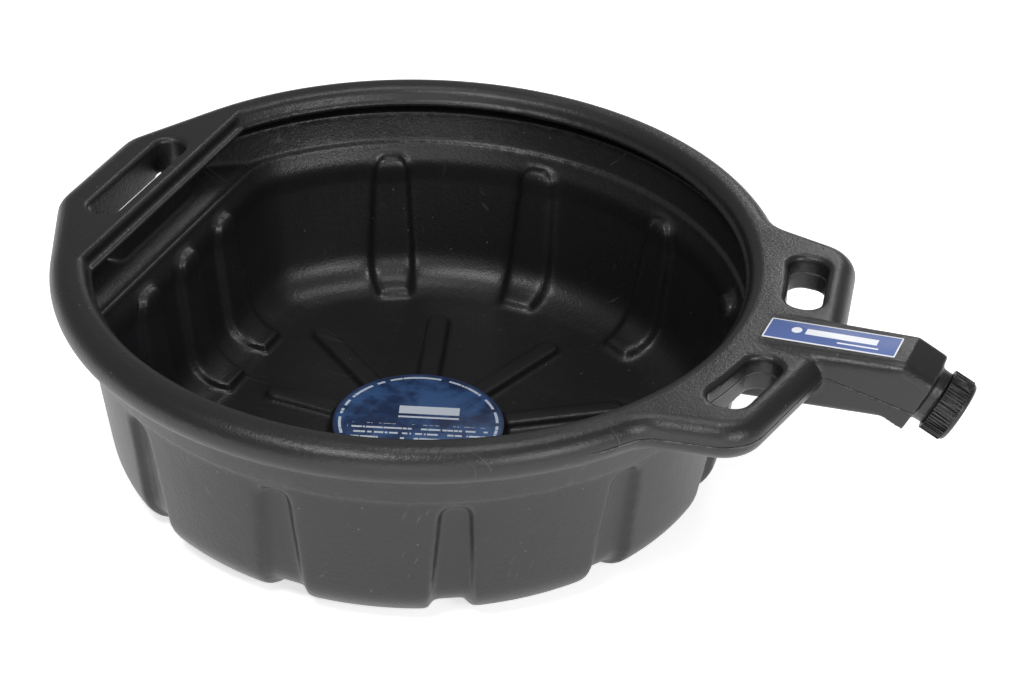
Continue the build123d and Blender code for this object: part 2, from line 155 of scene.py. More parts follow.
def copy_of_nodes(names, new_name):
    """One merged copy of several CAD nodes, with no parent and none of their materials."""
    deselect_all()
    for name in names:
        frame["nodes"][name].select_set(True)
    bpy.context.view_layer.objects.active = frame["nodes"][names[0]]
    bpy.ops.object.duplicate()
    if len(names) > 1:
        bpy.ops.object.join()
    piece = bpy.context.object
    bpy.ops.object.parent_clear(type="CLEAR_KEEP_TRANSFORM")
    for key in list(piece.keys()):
        del piece[key]
    piece.name = new_name
    piece.data.name = new_name
    piece.data.materials.clear()
    if piece.data.has_custom_normals:
        bpy.ops.mesh.customdata_custom_splitnormals_clear()
    edit(piece, "VERT")
    bpy.ops.mesh.select_all(action="SELECT")
    bpy.ops.mesh.remove_doubles(threshold=MERGE_DISTANCE)
    bpy.ops.object.mode_set(mode="OBJECT")
    return piece


def cut_across_neck(piece, distance, keep_outer):
    """Cuts a piece square to the neck's axis, at a distance from its start, and closes the cut."""
    edit(piece, "VERT")
    bpy.ops.mesh.select_all(action="SELECT")
    bpy.ops.mesh.bisect(
        plane_co=NECK_ORIGIN + NECK_AXIS * distance, plane_no=NECK_AXIS, use_fill=True,
        clear_inner=keep_outer, clear_outer=not keep_outer)
    bpy.ops.object.mode_set(mode="OBJECT")


def points_and_normals(piece):
    """The vertices of a mesh and their normals, as two arrays."""
    count = len(piece.data.vertices)
    points = np.empty(count * 3, np.float32)
    normals = np.empty(count * 3, np.float32)
    piece.data.vertices.foreach_get("co", points)
    piece.data.vertices.foreach_get("normal", normals)
    return points.reshape(-1, 3).astype(float), normals.reshape(-1, 3).astype(float)


def finish_piece(piece, body, material, nodes):
    """Gives a finished piece its material, body and slot, and hides the CAD nodes that it stands for."""
    piece.data.materials.clear()
    piece.data.materials.append(material)
    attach(piece, body)
    if nodes:
        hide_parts(*nodes)


# ------------------------------------------------------------------ helpers for materials
class Sheet:
    """Short ways to add and link the nodes of one material or group."""

    def __init__(self, tree):
        self.tree = tree

    def link(self, source, target):
        """Joins an output socket to an input socket."""
        self.tree.links.new(source, target)

    def math(self, operation, first, second=None):
        """One sum over sockets or numbers; returns its value."""
        node = self.tree.nodes.new("ShaderNodeMath")
        node.operation = operation
        for socket, value in zip(node.inputs, (first, second)):
            if value is None:
                continue
            if isinstance(value, (int, float)):
                socket.default_value = value
            else:
                self.link(value, socket)
        return node.outputs[0]

    def away(self, value, centre):
        """How far a value lies from a centre."""
        return self.math("ABSOLUTE", self.math("SUBTRACT", value, centre))

    def near(self, value, centre, half):
        """1 where a value lies within a half width of a centre, else 0."""
        return self.math("LESS_THAN", self.away(value, centre), half)

    def squares(self, first, second):
        """The sum of two values' squares."""
        first_square = self.math("MULTIPLY", first, first)
        return self.math("ADD", first_square, self.math("MULTIPLY", second, second))

    def span(self, value, low, high, to_low=0.0, to_high=1.0, smooth=True):
        """Maps a value from one range to another, clamped."""
        node = self.tree.nodes.new("ShaderNodeMapRange")
        node.interpolation_type = "SMOOTHSTEP" if smooth else "LINEAR"
        self.link(value, node.inputs["Value"])
        limits = {"From Min": low, "From Max": high, "To Min": to_low, "To Max": to_high}
        for name, number in limits.items():
            node.inputs[name].default_value = number
        return node.outputs["Result"]

    def mix(self, factor, first, second):
        """Mixes two colours, each a socket or a tuple."""
        node = self.tree.nodes.new("ShaderNodeMix")
        node.data_type = "RGBA"
        sockets = (node.inputs[0], node.inputs[6], node.inputs[7])
        for socket, value in zip(sockets, (factor, first, second)):
            if isinstance(value, (int, float)):
                socket.default_value = value
            elif isinstance(value, tuple):
                socket.default_value = (*value, 1.0)
            else:
                self.link(value, socket)
        return node.outputs[2]

    def noise(self, coordinates, scale, detail=2.0, roughness=0.5, distortion=0.0):
        """A noise value from 0 to 1 over the given coordinates."""
        node = self.tree.nodes.new("ShaderNodeTexNoise")
        node.inputs["Scale"].default_value = scale
        node.inputs["Detail"].default_value = detail
        node.inputs["Roughness"].default_value = roughness
        node.inputs["Distortion"].default_value = distortion
        self.link(coordinates, node.inputs["Vector"])
        return node.outputs["Fac"]

    def mapped(self, coordinates, location=(0, 0, 0), rotation=(0, 0, 0), scale=(1, 1, 1)):
        """Coordinates moved, turned and stretched."""
        node = self.tree.nodes.new("ShaderNodeMapping")
        node.inputs["Location"].default_value = location
        node.inputs["Rotation"].default_value = rotation
        node.inputs["Scale"].default_value = scale
        self.link(coordinates, node.inputs["Vector"])
        return node.outputs["Vector"]

    def split(self, coordinates):
        """The X, Y and Z of a vector."""
        node = self.tree.nodes.new("ShaderNodeSeparateXYZ")
        self.link(coordinates, node.inputs[0])
        return node.outputs[0], node.outputs[1], node.outputs[2]

    def group(self, tree, **values):
        """A placed node group with its inputs set to sockets or numbers."""
        node = self.tree.nodes.new("ShaderNodeGroup")
        node.node_tree = tree
        for key, value in values.items():
            socket = node.inputs[key.replace("_", " ").capitalize()]
            if isinstance(value, (int, float)):
                socket.default_value = value
            else:
                self.link(value, socket)
        return node


def new_group(name, inputs, outputs):
    """An empty shader node group with its sockets; returns its tree, a sheet and its two end nodes."""
    tree = bpy.data.node_groups.new(name, "ShaderNodeTree")
    for label, kind, default in inputs:
        socket = tree.interface.new_socket(label, in_out="INPUT", socket_type=kind)
        if default is not None:
            socket.default_value = default
    for label, kind in outputs:
        tree.interface.new_socket(label, in_out="OUTPUT", socket_type=kind)
    entry = tree.nodes.new("NodeGroupInput")
    leave = tree.nodes.new("NodeGroupOutput")
    return tree, Sheet(tree), entry, leave


def moulded_grain():
    """Group: the fine grain and orange peel that a blown skin takes from its mould, as a height."""
    tree, sheet, entry, leave = new_group(
        "Moulded grain",
        [("Coordinates", "NodeSocketVector", None), ("Grain scale", "NodeSocketFloat", 1.0),
         ("Grain depth", "NodeSocketFloat", 1.0), ("Peel depth", "NodeSocketFloat", 1.0)],
        [("Height", "NodeSocketFloat"), ("Grain", "NodeSocketFloat")])
    sag_depth = 2.2
    scaled = sheet.tree.nodes.new("ShaderNodeVectorMath")
    scaled.operation = "SCALE"
    sheet.link(entry.outputs["Coordinates"], scaled.inputs[0])
    sheet.link(entry.outputs["Grain scale"], scaled.inputs["Scale"])
    place = scaled.outputs[0]
    grain = sheet.noise(place, scale=820.0, detail=2.0, roughness=0.6)
    peel = sheet.noise(place, scale=330.0, detail=1.5, roughness=0.5)
    sag = sheet.noise(place, scale=34.0, detail=1.0, roughness=0.4)
    fine = sheet.math("MULTIPLY", grain, entry.outputs["Grain depth"])
    coarse = sheet.math("MULTIPLY", peel, entry.outputs["Peel depth"])
    height = sheet.math("ADD", fine, coarse)
    height = sheet.math("ADD", height, sheet.math("MULTIPLY", sag, sag_depth))
    sheet.link(height, leave.inputs["Height"])
    sheet.link(grain, leave.inputs["Grain"])
    return tree


def handling_marks():
    """Group: fine scratches and settled dust, as two masks."""
    tree, sheet, entry, leave = new_group(
        "Handling marks",
        [("Coordinates", "NodeSocketVector", None), ("Scratches", "NodeSocketFloat", 1.0),
         ("Dust", "NodeSocketFloat", 1.0)],
        [("Scratch mask", "NodeSocketFloat"), ("Dust mask", "NodeSocketFloat")])
    place = entry.outputs["Coordinates"]
    specks_per_metre = 150.0
    share_without_dust = 0.66
    lines = None
    directions = (0.35, 1.25, 2.3)
    for index, turn in enumerate(directions):
        drawn_out = sheet.mapped(place, location=(index, index, 0), rotation=(0.2 * index, 0.3, turn),
                                 scale=(26.0, 900.0, 60.0))
        streak = sheet.noise(drawn_out, scale=1.0, detail=1.0, roughness=0.4)
        line = sheet.span(streak, low=0.725, high=0.775)
        lines = line if lines is None else sheet.math("MAXIMUM", lines, line)
    patch = sheet.span(sheet.noise(place, scale=21.0, detail=2.0), low=0.47, high=0.66)
    lines = sheet.math("MULTIPLY", lines, patch)
    sheet.link(sheet.math("MULTIPLY", lines, entry.outputs["Scratches"]), leave.inputs["Scratch mask"])
    specks = sheet.tree.nodes.new("ShaderNodeTexVoronoi")
    specks.inputs["Scale"].default_value = specks_per_metre
    sheet.link(place, specks.inputs["Vector"])
    chosen = sheet.math("GREATER_THAN", sheet.noise(place, scale=95.0, detail=0.0), share_without_dust)
    speck = sheet.span(specks.outputs["Distance"], low=0.05, high=0.11, to_low=1.0, to_high=0.0)
    speck = sheet.math("MULTIPLY", speck, chosen)
    sheet.link(sheet.math("MULTIPLY", speck, entry.outputs["Dust"]), leave.inputs["Dust mask"])
    return tree


def print_bars():
    """Group: rows of short plain bars in place of printed words, as a mask over flat coordinates."""
    tree, sheet, entry, leave = new_group(
        "Printed bars",
        [("Along", "NodeSocketFloat", 0.0), ("Across", "NodeSocketFloat", 0.0),
         ("Row pitch", "NodeSocketFloat", 0.005), ("Word length", "NodeSocketFloat", 0.01),
         ("Fill", "NodeSocketFloat", 0.5)],
        [("Mask", "NodeSocketFloat")])
    row_shift = 7.31            # sets each row's words apart from the row below
    letters_per_word = 6.5
    rows = sheet.math("DIVIDE", entry.outputs["Across"], entry.outputs["Row pitch"])
    row = sheet.math("FLOOR", rows)
    in_row = sheet.away(sheet.math("FRACT", rows), 0.5)
    bar = sheet.math("LESS_THAN", sheet.math("MULTIPLY", in_row, 2.0), entry.outputs["Fill"])
    words = sheet.math("DIVIDE", entry.outputs["Along"], entry.outputs["Word length"])
    joined = sheet.tree.nodes.new("ShaderNodeCombineXYZ")
    sheet.link(words, joined.inputs[0])
    sheet.link(sheet.math("MULTIPLY", row, row_shift), joined.inputs[1])
    spaced = sheet.noise(joined.outputs[0], scale=1.0, detail=0.0)
    letters = sheet.noise(joined.outputs[0], scale=letters_per_word, detail=0.0)
    word = sheet.math("GREATER_THAN", spaced, 0.42)
    letter = sheet.math("GREATER_THAN", letters, 0.36)
    mask = sheet.math("MULTIPLY", sheet.math("MULTIPLY", bar, word), letter)
    sheet.link(mask, leave.inputs["Mask"])
    return tree


def start_material(name, colour, roughness):
    """A material with one Principled shader, its constants set on its own sockets."""
    material = bpy.data.materials.new(name)
    material.use_nodes = True
    tree = material.node_tree
    shader = tree.nodes["Principled BSDF"]
    shader.inputs["Base Color"].default_value = (*colour, 1.0)
    shader.inputs["Roughness"].default_value = roughness
    coordinates = tree.nodes.new("ShaderNodeTexCoord").outputs["Object"]
    return material, Sheet(tree), shader, coordinates


def link_bump(sheet, shader, height, distance):
    """Feeds a height into the shader's normal."""
    bump = sheet.tree.nodes.new("ShaderNodeBump")
    bump.inputs["Strength"].default_value = 1.0
    bump.inputs["Distance"].default_value = distance
    sheet.link(height, bump.inputs["Height"])
    sheet.link(bump.outputs["Normal"], shader.inputs["Normal"])


def black_polyethylene(name, settings, grain, marks, parting):
    """Satin black polyethylene: grain, orange peel, scratches, dust and, if asked, the parting line."""
    scratch_colour, dust_colour = (0.16, 0.16, 0.165), (0.30, 0.29, 0.27)
    colour = tuple(settings.plastic_colour)
    material, sheet, shader, place = start_material(name, colour, settings.plastic_roughness)
    shader.inputs["Specular IOR Level"].default_value = 0.5
    skin = sheet.group(grain, coordinates=place, grain_depth=settings.grain_depth, peel_depth=0.9)
    worn = sheet.group(marks, coordinates=place, scratches=settings.scratches, dust=settings.dust)
    height = skin.outputs["Height"]
    cloud = sheet.noise(place, scale=9.0, detail=3.0)
    tone = sheet.mix(cloud, tuple(c * 0.8 for c in colour), tuple(c * 1.25 for c in colour))
    scratched = sheet.math("MULTIPLY", worn.outputs["Scratch mask"], 0.55)
    tone = sheet.mix(scratched, tone, scratch_colour)
    dusted = sheet.math("MULTIPLY", worn.outputs["Dust mask"], 0.6)
    tone = sheet.mix(dusted, tone, dust_colour)
    rough = sheet.math("ADD", settings.plastic_roughness - 0.06, sheet.math("MULTIPLY", cloud, 0.1))
    rough = sheet.math("ADD", rough, sheet.math("MULTIPLY", skin.outputs["Grain"], 0.08))
    if parting:
        height, tone = parting_line(sheet, place, height, tone)
    sheet.link(tone, shader.inputs["Base Color"])
    sheet.link(rough, shader.inputs["Roughness"])
    link_bump(sheet, shader, height, distance=0.00016)
    return material


def parting_line(sheet, place, height, tone):
    """The ragged line where the mould's halves met, round the rim and down the spout."""
    line_height, line_colour = 7.0, (0.12, 0.12, 0.125)
    x, y, z = sheet.split(place)
    radius = sheet.math("SQRT", sheet.squares(x, y))
    on_handles = sheet.span(sheet.away(x, -0.02), low=0.178, high=0.192)
    outside = sheet.math("MULTIPLY", sheet.span(radius, low=0.204, high=0.210), on_handles)
    wobble = sheet.math("SUBTRACT", sheet.noise(place, scale=45.0), 0.5)
    wobble = sheet.math("MULTIPLY", wobble, 0.0006)
    fall = sheet.math("MULTIPLY", sheet.span(x, low=0.262, high=0.335, smooth=False), 0.0145)
    level = sheet.math("ADD", sheet.math("SUBTRACT", z, PARTING_Z), sheet.math("ADD", wobble, fall))
    line = sheet.span(sheet.math("ABSOLUTE", level), low=0.0002, high=0.0010, to_low=1.0, to_high=0.0)
    line = sheet.math("MULTIPLY", line, outside)
    height = sheet.math("ADD", height, sheet.math("MULTIPLY", line, line_height))
    patches = sheet.span(sheet.noise(place, scale=380.0), low=0.42, high=0.62)
    ragged = sheet.math("MULTIPLY", sheet.math("MULTIPLY", line, patches), 0.5)
    return height, sheet.mix(ragged, tone, line_colour)


def floor_label_print(settings, bars):
    """Blue mottled film with a ring of bars at its border and rows of bars across its middle."""
    film_colour, ink_colour, border_colour = (0.03, 0.07, 0.2), (0.55, 0.60, 0.68), (0.02, 0.035, 0.09)
    border_width = 0.0016
    ring_from_edge, ring_pitch_from_edge, ring_half = 0.0042, 0.0058, 0.0016
    rows_from_edge, rows_top = 0.009, -0.003
    title_at, title_half = (0.006, 0.013), (0.019, 0.0042)
    subtitle_v, subtitle_half = 0.0052, 0.0009
    material, sheet, shader, place = start_material("Floor label print", film_colour, 0.42)
    x, y, _ = sheet.split(place)
    radius = sheet.math("SQRT", sheet.squares(x, y))
    angle = sheet.math("ARCTAN2", y, x)
    mottle = sheet.span(sheet.noise(place, scale=42.0, detail=4.0, roughness=0.62), low=0.4, high=0.62)
    blue = sheet.mix(mottle, tuple(settings.floor_blue_dark), tuple(settings.floor_blue_light))
    edge = settings.floor_label_radius
    border = sheet.math("GREATER_THAN", radius, edge - border_width)
    ring = sheet.group(
        bars, along=sheet.math("MULTIPLY", angle, edge * 0.9),
        across=sheet.math("SUBTRACT", radius, edge - ring_pitch_from_edge),
        row_pitch=0.0032, word_length=0.0075, fill=0.55)
    in_ring = sheet.near(radius, edge - ring_from_edge, ring_half)
    ring_mask = sheet.math("MULTIPLY", ring.outputs["Mask"], in_ring)
    u, v, _ = sheet.split(sheet.mapped(place, rotation=(0, 0, settings.label_turn)))
    rows = sheet.group(bars, along=u, across=v, row_pitch=0.0052, word_length=0.0065, fill=0.34)
    inside = sheet.math("LESS_THAN", radius, edge - rows_from_edge)
    low_half = sheet.math("LESS_THAN", v, rows_top)
    rows_mask = sheet.math("MULTIPLY", sheet.math("MULTIPLY", rows.outputs["Mask"], inside), low_half)
    title_u = sheet.near(u, title_at[0], title_half[0])
    title = sheet.math("MULTIPLY", sheet.near(v, title_at[1], title_half[1]), title_u)
    subtitle = sheet.math("MULTIPLY", sheet.near(v, subtitle_v, subtitle_half), title_u)
    ink = sheet.math("MAXIMUM", sheet.math("MAXIMUM", ring_mask, rows_mask),
                     sheet.math("MAXIMUM", title, subtitle))
    colour = sheet.mix(border, sheet.mix(ink, blue, ink_colour), border_colour)
    sheet.link(colour, shader.inputs["Base Color"])
    crease = sheet.noise(place, scale=55.0, detail=2.0)
    sheet.link(sheet.span(crease, low=0.3, high=0.7, to_low=0.34, to_high=0.5), shader.inputs["Roughness"])
    link_bump(sheet, shader, crease, distance=0.0001)
    return material


def spout_label_print(settings, centre, size, rise):
    """Blue film with a thin white border, one long bar and a short one, and a dot."""
    film_colour, ink_colour, border_colour = (0.12, 0.18, 0.42), (0.82, 0.84, 0.88), (0.78, 0.80, 0.85)
    border_width = 0.0010
    bar_at, bar_half = (0.005, 0.0015), (0.021, 0.0030)
    short_bar_at, short_bar_half = (0.016, -0.0052), (0.012, 0.0007)
    dot_at, dot_radius = (-0.0215, 0.0015), 0.0031
    material, sheet, shader, place = start_material("Spout label print", film_colour, 0.4)
    along, across, _ = sheet.split(sheet.mapped(place, location=(-centre.x, -centre.y, 0)))
    along = sheet.math("DIVIDE", along, cos(rise))
    half_length, half_width = size[0] / 2, size[1] / 2

    def patch(at, half):
        return sheet.math("MULTIPLY", sheet.near(along, at[0], half[0]), sheet.near(across, at[1], half[1]))

    field = patch((0.0, 0.0), (half_length - border_width, half_width - border_width))
    to_dot = sheet.squares(
        sheet.math("SUBTRACT", along, dot_at[0]), sheet.math("SUBTRACT", across, dot_at[1]))
    dot = sheet.math("LESS_THAN", to_dot, dot_radius ** 2)
    bar, short_bar = patch(bar_at, bar_half), patch(short_bar_at, short_bar_half)
    ink = sheet.math("MAXIMUM", sheet.math("MAXIMUM", bar, short_bar), dot)
    fade = sheet.noise(place, scale=30.0, detail=2.0)
    blue = sheet.mix(fade, tuple(settings.spout_blue), tuple(c * 1.35 for c in settings.spout_blue))
    colour = sheet.mix(field, border_colour, sheet.mix(ink, blue, ink_colour))
    sheet.link(colour, shader.inputs["Base Color"])
    sheet.link(sheet.span(fade, low=0.3, high=0.7, to_low=0.36, to_high=0.48), shader.inputs["Roughness"])
    link_bump(sheet, shader, fade, distance=0.0002)
    return material


def liner_foam():
    """Pale closed-cell foam."""
    material, sheet, shader, place = start_material("Liner foam", (0.72, 0.72, 0.68), 0.75)
    dark_cell, light_cell = (0.6, 0.6, 0.56), (0.78, 0.78, 0.74)
    cells = sheet.noise(place, scale=2600.0, detail=3.0, roughness=0.7)
    sheet.link(sheet.mix(cells, dark_cell, light_cell), shader.inputs["Base Color"])
    sheet.link(sheet.span(cells, low=0.2, high=0.8, to_low=0.65, to_high=0.85), shader.inputs["Roughness"])
    link_bump(sheet, shader, cells, distance=0.0001)
    return material


# ------------------------------------------------------------------ user settings
class PanSettings(PropertyGroup):
    """Sizes and colours of the pan that a user would change."""

    skin_detail: FloatProperty(
        name="Skin Detail", description="Size of the cells that the moulded skin is rebuilt from",
        default=0.0013, min=0.001, max=0.004, unit="LENGTH")
    skin_softness: IntProperty(
        name="Skin Softness", description="How many passes round the moulded skin's corners",
        default=4, min=0, max=30)
    rib_softness: IntProperty(
        name="Rib Softness", description="How many more passes round the basin's ribs",
        default=44, min=0, max=80)
    skin_triangles: IntProperty(
        name="Skin Triangles", description="Most triangles left in the moulded skin",
        default=190000, min=20000)
    cap_radius: FloatProperty(
        name="Cap Radius", description="Outside radius of the screw cap over its ribs", default=0.0192,
        unit="LENGTH")
    rib_count: IntProperty(
        name="Cap Ribs", description="Grip ribs round the screw cap", default=60, min=12, max=120)
    rib_depth: FloatProperty(
        name="Rib Depth", description="How far the cap's ribs stand out", default=0.0007, unit="LENGTH")
    plastic_colour: FloatVectorProperty(
        name="Plastic", description="Colour of the black polyethylene", default=(0.0085, 0.0085, 0.009),
        subtype="COLOR", min=0.0, max=1.0)
    plastic_roughness: FloatProperty(
        name="Roughness", description="Mean roughness of the polyethylene", default=0.34, min=0.0, max=1.0,
        subtype="FACTOR")
    grain_depth: FloatProperty(
        name="Grain Depth", description="Strength of the moulded grain", default=1.0, min=0.0, max=3.0)
    scratches: FloatProperty(
        name="Scratches", description="Strength of the handling scratches", default=0.35, min=0.0, max=1.0,
        subtype="FACTOR")
    dust: FloatProperty(
        name="Dust", description="Amount of settled dust", default=0.5, min=0.0, max=1.0, subtype="FACTOR")
    floor_label_radius: FloatProperty(
        name="Floor Label Radius", description="Radius of the round label in the basin", default=0.0535,
        unit="LENGTH")
    floor_blue_dark: FloatVectorProperty(
        name="Floor Label Dark", description="Darker blue of the round label",
        default=(0.008, 0.022, 0.075), subtype="COLOR", min=0.0, max=1.0)
    floor_blue_light: FloatVectorProperty(
        name="Floor Label Light", description="Lighter blue of the round label",
        default=(0.03, 0.085, 0.22), subtype="COLOR", min=0.0, max=1.0)
    spout_blue: FloatVectorProperty(
        name="Spout Label", description="Blue of the label on the spout", default=(0.07, 0.115, 0.30),
        subtype="COLOR", min=0.0, max=1.0)
    label_turn: FloatProperty(
        name="Label Turn", description="Turn of the round label's rows about its centre",
        default=radians(-20), subtype="ANGLE", unit="ROTATION")


class StudioSettings(PropertyGroup):
    """Camera, floor and lights of the studio."""

    azimuth: FloatProperty(
        name="Camera Azimuth", description="Direction the camera looks from, about the pan's axis",
        default=radians(21.353), subtype="ANGLE", unit="ROTATION")
    elevation: FloatProperty(
        name="Camera Elevation", description="Height of the camera above the horizon",
        default=radians(33.16), subtype="ANGLE", unit="ROTATION")
    roll: FloatProperty(
        name="Camera Roll", description="Tilt of the camera about its own axis", default=radians(2.089),
        subtype="ANGLE", unit="ROTATION")
    camera_place: FloatVectorProperty(
        name="Camera Place", description="Where the camera stands", default=(0.5378, -1.2201, 0.9447),
        subtype="TRANSLATION", unit="LENGTH")
    lens: FloatProperty(name="Lens", description="Focal length in millimetres", default=91.41)
    floor_size: FloatProperty(
        name="Floor Size", description="Side of the floor", default=14.0, unit="LENGTH")
    floor_colour: FloatVectorProperty(
        name="Floor Colour", description="Colour of the floor", default=(0.93, 0.93, 0.93),
        subtype="COLOR", min=0.0, max=1.0)
    floor_glow: FloatProperty(
        name="Floor Glow", description="Light that the white floor gives off by itself", default=0.62,
        min=0.0)
    sky_strength: FloatProperty(
        name="Room Light", description="Strength of the white room", default=0.28, min=0.0)


# ------------------------------------------------------------------ pieces
class DrainPanMoulding(Operator):
    """Build the blow moulding: one continuous skin with soft corners, and its threaded neck"""

    bl_idname = "mesh.drain_pan_moulding"
    bl_label = "Drain Pan Moulding"

    skin_past_collar = 0.0002   # the skin ends this far past the collar's face
    neck_under_skin = 0.0006    # the neck starts this far before it
    neck_edge = 0.00022
    rib_low = 0.140             # nearer the axis than this the floor stays crisp
    rib_high = 0.0965           # above this the band and rim stay crisp
    rib_fade = 0.006
    shoulder_low = 0.074
    shoulder_z = 0.0885
    shoulder_high = 0.1010
    shoulder_rise = 0.0024
    facing_gain, facing_start = 2.0, 0.4    # the shoulder grows in over faces that look inwards

    def execute(self, context):
        settings = context.scene.drain_pan
        material = black_polyethylene(
            "Pan polyethylene", settings, bpy.data.node_groups["Moulded grain"],
            bpy.data.node_groups["Handling marks"], parting=True)
        skin = copy_of_nodes(MOULDED_NODES, "moulded_pan")
        apply_modifier(
            skin, "REMESH", mode="VOXEL", voxel_size=settings.skin_detail, use_smooth_shade=True)
        apply_modifier(skin, "SMOOTH", factor=0.5, iterations=settings.skin_softness)
        self.soften_ribs(skin, settings.rib_softness)
        self.raise_shoulder(skin)
        cut_across_neck(skin, COLLAR_LENGTH + self.skin_past_collar, keep_outer=False)
        triangles = sum(len(face.vertices) - 2 for face in skin.data.polygons)
        apply_modifier(skin, "DECIMATE", ratio=min(1.0, settings.skin_triangles / triangles))
        activate(skin)
        bpy.ops.object.shade_smooth()
        neck = copy_of_nodes(("spout",), "threaded_neck")
        cut_across_neck(neck, COLLAR_LENGTH - self.neck_under_skin, keep_outer=True)
        ease_edges(neck, self.neck_edge, 32)
        shade(neck, 40)
        finish_piece(skin, "pan", material, MOULDED_NODES)
        finish_piece(neck, "pan", material, ())
        return {"FINISHED"}

    def soften_ribs(self, skin, passes):
        """Rounds the basin's upright ribs and base corner further than the rim and handles."""
        points, _ = points_and_normals(skin)
        below = np.clip((self.rib_high - points[:, 2]) / self.rib_fade, 0, 1)
        off_floor = np.clip((np.hypot(points[:, 0], points[:, 1]) - self.rib_low) / self.rib_fade, 0, 1)
        weight = np.round(below * off_floor, 1)
        group = skin.vertex_groups.new(name="ribs")
        for level in np.unique(weight[weight > 0]):
            group.add(np.flatnonzero(weight == level).tolist(), float(level), "REPLACE")
        apply_modifier(skin, "SMOOTH", factor=0.5, iterations=passes, vertex_group="ribs")
        skin.vertex_groups.clear()

    def raise_shoulder(self, skin):
        """Thickens the wall inwards just below the band, as a low rounded shoulder."""
        points, normals = points_and_normals(skin)
        flat = points * (1, 1, 0)
        radial = flat / np.linalg.norm(flat, axis=1, keepdims=True).clip(1e-6)
        facing = -np.sum(normals * radial, axis=1)
        inward = np.clip(facing * self.facing_gain - self.facing_start, 0, 1)
        levels = (self.shoulder_low, self.shoulder_z, self.shoulder_high)
        share = np.interp(points[:, 2], levels, (0, 1, 0))
        rise = share * share * (3 - 2 * share) * inward * self.shoulder_rise
        moved = points - radial * rise[:, None]
        skin.data.vertices.foreach_set("co", moved.astype(np.float32).ravel())
        skin.data.update()


class DrainPanCap(Operator):
    """Build the screw cap: grip ribs, a rounded end, a hollow with its thread"""

    bl_idname = "mesh.drain_pan_cap"
    bl_label = "Drain Pan Screw Cap"

    start = 0.0076              # the cap's open end, along the neck
    end = 0.0226                # its closed end
    end_wall = 0.0023
    bore = 0.01665              # inside radius, between the thread's turns
    smooth_end = 0.0026         # the ribs stop short of the closed end
    end_round = 0.0026
    panel_margin = 0.0035       # the closed end has a shallow round panel inside this margin
    panel_step, panel_depth = 0.0004, 0.0002
    edge = 0.00018
    points_per_rib = 4
    thread_depth = 0.0014
    thread_pitch = 0.004
    thread_turns = 2.0
    thread_start = 0.0106
    thread_root_half, thread_crest_half = 0.0010, 0.00045
    thread_in_wall = 0.0003     # the thread's root sinks this far into the wall
    thread_steps = 96

    def execute(self, context):
        settings = context.scene.drain_pan
        cap = self.barrel(settings)
        thread = self.thread()
        activate(thread)
        cap.select_set(True)
        context.view_layer.objects.active = cap
        bpy.ops.object.join()
        set_on_neck(cap)
        material = black_polyethylene(
            "Cap polyethylene", settings, bpy.data.node_groups["Moulded grain"],
            bpy.data.node_groups["Handling marks"], parting=False)
        finish_piece(cap, "screw_cap", material, ("screw_cap",))
        return {"FINISHED"}

    def barrel(self, settings):
        """The ribbed barrel, closed at its far end."""
        core = settings.cap_radius - settings.rib_depth
        middle = (self.start + self.end) / 2
        deselect_all()
        bpy.ops.mesh.primitive_cylinder_add(
            vertices=settings.rib_count * self.points_per_rib, radius=core, depth=self.end - self.start,
            location=(0, 0, middle))
        cap = bpy.context.object
        cap.name = "ribbed_screw_cap"
        apply_place(cap)
        edit(cap)
        bpy.ops.mesh.select_all(action="SELECT")
        rib_top = self.end - self.smooth_end
        bpy.ops.mesh.bisect(plane_co=(0, 0, rib_top), plane_no=(0, 0, 1))
        pitch = TURN / settings.rib_count

        def on_rib(face):
            centre = face.calc_center_median()
            share = (atan2(centre.y, centre.x) % pitch) / pitch
            return abs(face.normal.z) < 0.1 and centre.z < rib_top and share < 0.5

        pick_faces(cap, on_rib)
        bpy.ops.mesh.extrude_region_shrink_fatten(
            TRANSFORM_OT_shrink_fatten={"value": settings.rib_depth})
        pick_faces(cap, lambda face: face.normal.z < -0.9 and len(face.verts) > 8)
        bpy.ops.mesh.inset(thickness=core - self.bore)
        depth = self.end - self.start - self.end_wall
        bpy.ops.mesh.extrude_region_move(TRANSFORM_OT_translate={"value": (0, 0, depth)})
        near_end = self.end - 0.0001

        def on_closed_end(face):
            return face.normal.z > 0.9 and face.calc_center_median().z > near_end

        pick_faces(cap, on_closed_end)
        bpy.ops.mesh.bevel(offset=self.end_round, segments=5, affect="EDGES")
        pick_faces(cap, lambda face: face.normal.z > 0.99 and len(face.verts) > 8)
        bpy.ops.mesh.inset(thickness=self.panel_margin, depth=0.0)
        bpy.ops.mesh.inset(thickness=self.panel_step, depth=-self.panel_depth)
        bpy.ops.object.mode_set(mode="OBJECT")
        ease_edges(cap, self.edge, 50)
        shade(cap, 35)
        return cap

    def thread(self):
        """The cap's inner thread, one small section carried up a helix."""
        deselect_all()
        bpy.ops.mesh.primitive_plane_add(size=1, location=(0, 0, 0), rotation=(pi / 2, 0, 0))
        thread = bpy.context.object
        apply_place(thread)
        root, crest = self.bore + self.thread_in_wall, self.bore - self.thread_depth
        for vertex in thread.data.vertices:
            at_root = vertex.co.x > 0
            half = self.thread_root_half if at_root else self.thread_crest_half
            side = half if vertex.co.z > 0 else -half
            vertex.co = (root if at_root else crest, 0, self.thread_start + side)
        apply_modifier(
            thread, "SCREW", angle=TURN * self.thread_turns,
            screw_offset=self.thread_pitch * self.thread_turns, steps=self.thread_steps,
            render_steps=self.thread_steps, use_normal_calculate=True, use_merge_vertices=False)
        edit(thread, "EDGE")
        bpy.ops.mesh.select_all(action="SELECT")
        bpy.ops.mesh.normals_make_consistent(inside=False)
        bpy.ops.object.mode_set(mode="OBJECT")
        shade(thread, 35)
        return thread


